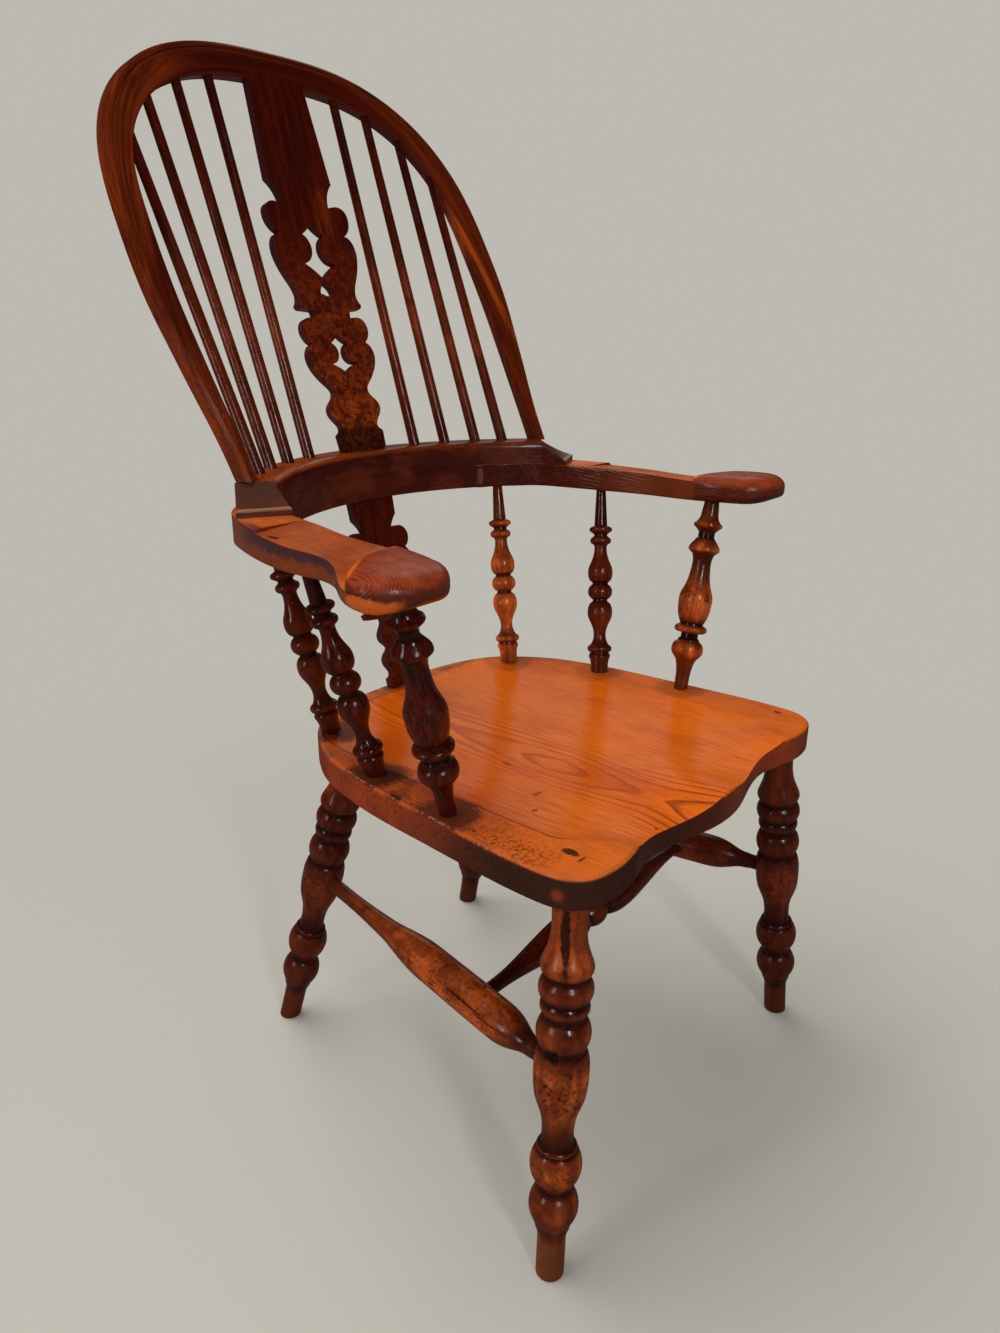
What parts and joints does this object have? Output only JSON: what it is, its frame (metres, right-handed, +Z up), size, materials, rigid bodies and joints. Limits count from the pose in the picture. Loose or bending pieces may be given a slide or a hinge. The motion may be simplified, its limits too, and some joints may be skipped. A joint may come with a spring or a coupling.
{
  "type": "windsor armchair",
  "caption": "High-backed wooden armchair with a saddled seat, turned legs joined by stretchers, an arm bow on turned supports and a bent hoop holding plain sticks and a fretted splat.",
  "frame": {"origin": "on the floor under the middle of the chair's outline", "axes": "+Z up, the seat faces -Y, +X towards the sitter's left, mirror plane at x = 0"},
  "size_m": [0.6988, 0.666, 1.1532],
  "materials": {
    "seat_elm": "waxed elm",
    "turned_wood": "polished, dark in the hollows",
    "stick_wood": "polished",
    "arm_wood": "polished by hands",
    "bent_wood": "polished",
    "splat_wood": "polished burr"
  },
  "bodies": {
    "root": {"seat": "seat_elm", "leg_front_left": "turned_wood", "leg_rear_left": "turned_wood", "side_stretcher_left": "turned_wood", "arm_post_left": "turned_wood", "arm_spindle_mid_left": "turned_wood", "arm_spindle_rear_left": "turned_wood", "back_stick_1_left": "stick_wood", "back_stick_2_left": "stick_wood", "back_stick_3_left": "stick_wood", "back_stick_4_left": "stick_wood", "arm_left": "arm_wood", "crest_end_left": "arm_wood", "leg_front_right": "turned_wood", "leg_rear_right": "turned_wood", "side_stretcher_right": "turned_wood", "arm_post_right": "turned_wood", "arm_spindle_mid_right": "turned_wood", "arm_spindle_rear_right": "turned_wood", "back_stick_1_right": "stick_wood", "back_stick_2_right": "stick_wood", "back_stick_3_right": "stick_wood", "back_stick_4_right": "stick_wood", "arm_right": "arm_wood", "crest_end_right": "arm_wood", "cross_stretcher": "turned_wood", "arm_rail": "arm_wood", "crest_centre": "arm_wood", "back_hoop": "bent_wood", "splat_upper": "splat_wood", "splat_lower": "splat_wood"}
  },
  "joints": []
}
